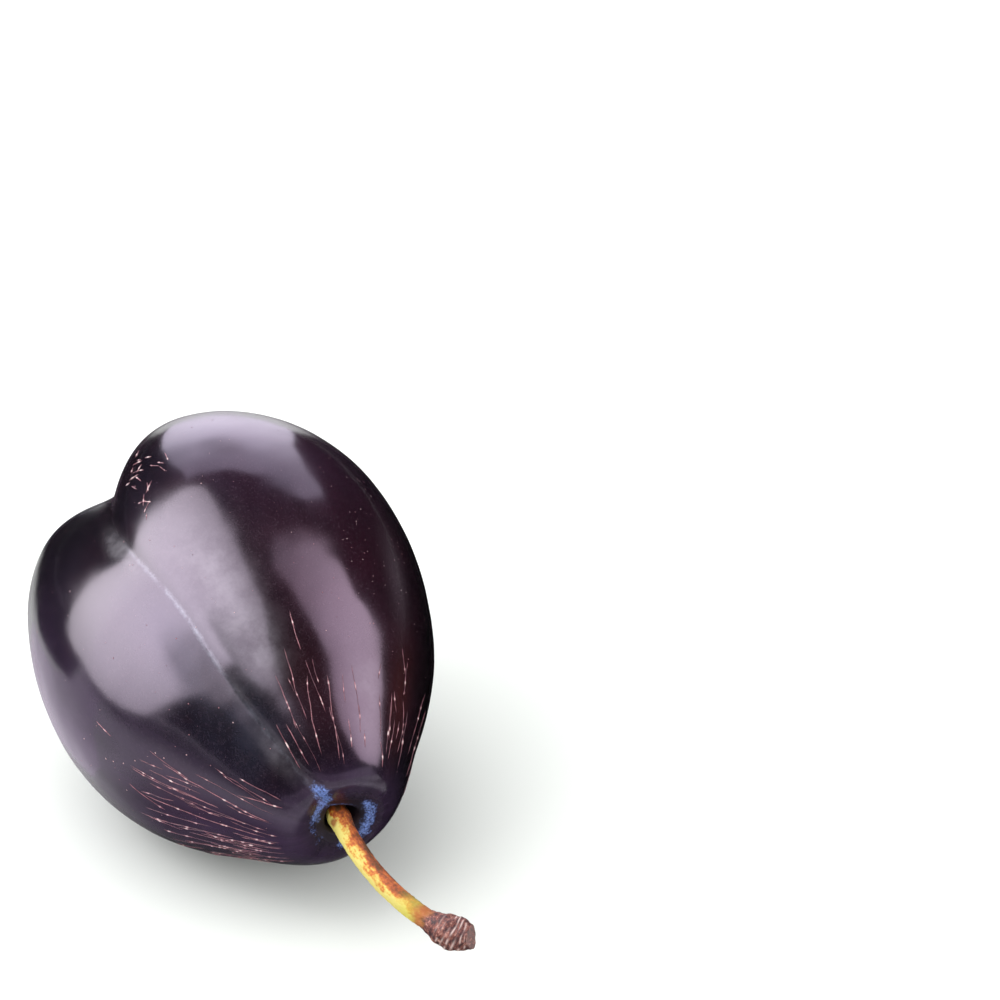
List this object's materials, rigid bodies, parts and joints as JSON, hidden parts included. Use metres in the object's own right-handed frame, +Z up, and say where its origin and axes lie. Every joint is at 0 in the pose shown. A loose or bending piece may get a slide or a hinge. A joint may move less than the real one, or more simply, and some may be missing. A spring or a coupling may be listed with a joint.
{
  "type": "plum",
  "caption": "Whole ripe dark purple plum lying on its side, with a long seam, a cleft blossom end and its bent stem.",
  "frame": {"origin": "middle of the small flat spot that the plum rests on", "axes": "+Z up; the stem end points along -Y and the blossom end along +Y; +X to the right as seen from the stem end"},
  "size_m": [0.0422, 0.0737, 0.0421],
  "materials": {
    "plum_skin": "natural waxy fruit skin, near-black purple, glossy with a thin bloom",
    "stem_bark": "yellow-green young bark, matt, mottled orange-brown"
  },
  "bodies": {
    "root": {"fruit": "plum_skin", "stem": "stem_bark"}
  },
  "joints": []
}
